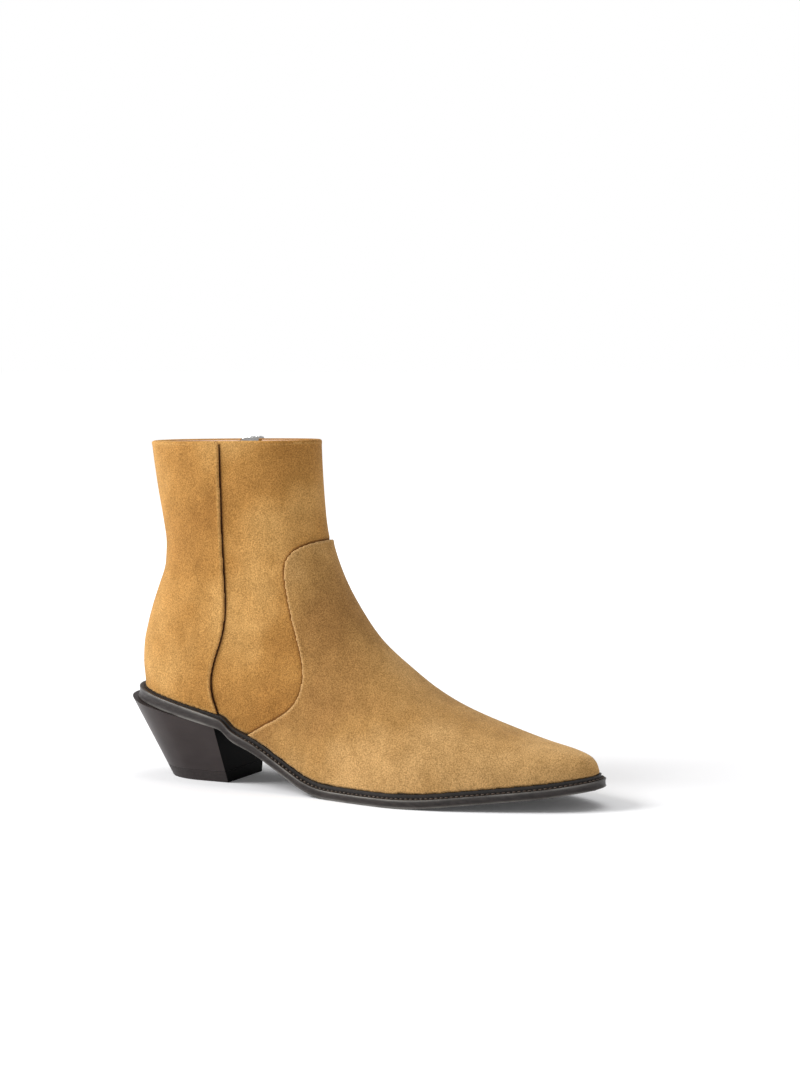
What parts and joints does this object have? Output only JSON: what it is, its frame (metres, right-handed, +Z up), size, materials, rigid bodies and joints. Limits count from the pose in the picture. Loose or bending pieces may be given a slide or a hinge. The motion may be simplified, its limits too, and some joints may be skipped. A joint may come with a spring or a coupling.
{
  "type": "ankle-high cowboy boot",
  "caption": "Right-foot suede cowboy ankle boot with a pointed toe, underslung block heel, stitched sole edge and an inner-side zip with a long pull.",
  "frame": {"origin": "on the ground, under the middle of the boot's length and width", "axes": "+X towards the toe, +Y towards the inner (medial) side, +Z up"},
  "size_m": [0.2702, 0.0883, 0.183],
  "materials": {
    "suede": "brushed suede",
    "lining_leather": "smooth matt",
    "stiffener": "matt",
    "interlining": "woven",
    "sole_leather": "waxed edge",
    "fibre_board": "pressed fibre",
    "foam": "foam",
    "cork": "granulated",
    "steel": "plain",
    "heel_stack": "dark lacquer, satin",
    "lift_rubber": "matt",
    "zip_tape": "woven",
    "zip_metal": "polished"
  },
  "bodies": {
    "root": {"vamp": "suede", "quarter": "suede", "back_panel": "suede", "topline_tape": "interlining", "toe_puff": "stiffener", "vamp_interlining": "interlining", "heel_counter": "stiffener", "back_interlining": "interlining", "quarter_interlining": "interlining", "vamp_lining": "lining_leather", "lateral_lining": "lining_leather", "medial_lining": "lining_leather", "back_lining": "lining_leather", "welt": "sole_leather", "outsole": "sole_leather", "insole_board": "fibre_board", "heel_pad": "foam", "sock_liner": "lining_leather", "cork_filler": "cork", "shank": "steel", "heel_block": "heel_stack", "top_lift": "lift_rubber", "heel_screw": "steel", "heel_nails": "steel", "top_lift_pins": "steel", "zip_tape_front": "zip_tape", "zip_tape_rear": "zip_tape", "zip_teeth_front": "zip_metal", "zip_teeth_rear": "zip_metal", "zip_top_stops": "zip_metal", "zip_bottom_stop": "zip_metal"},
    "slider": {"zip_slider": "zip_metal"},
    "pull": {"zip_pull": "zip_metal"}
  },
  "joints": [
    {"name": "zip_slide", "type": "slide", "parent": "root", "child": "slider", "axis": [0.074, 0.0211, -0.997], "range_m": [0, 0.088]},
    {"name": "pull_swing", "type": "hinge", "parent": "slider", "child": "pull", "pos_m": [-0.07591, 0.03081, 0.17647], "axis": [0.9973, 0, 0.0741], "range_deg": [0, 165]}
  ]
}
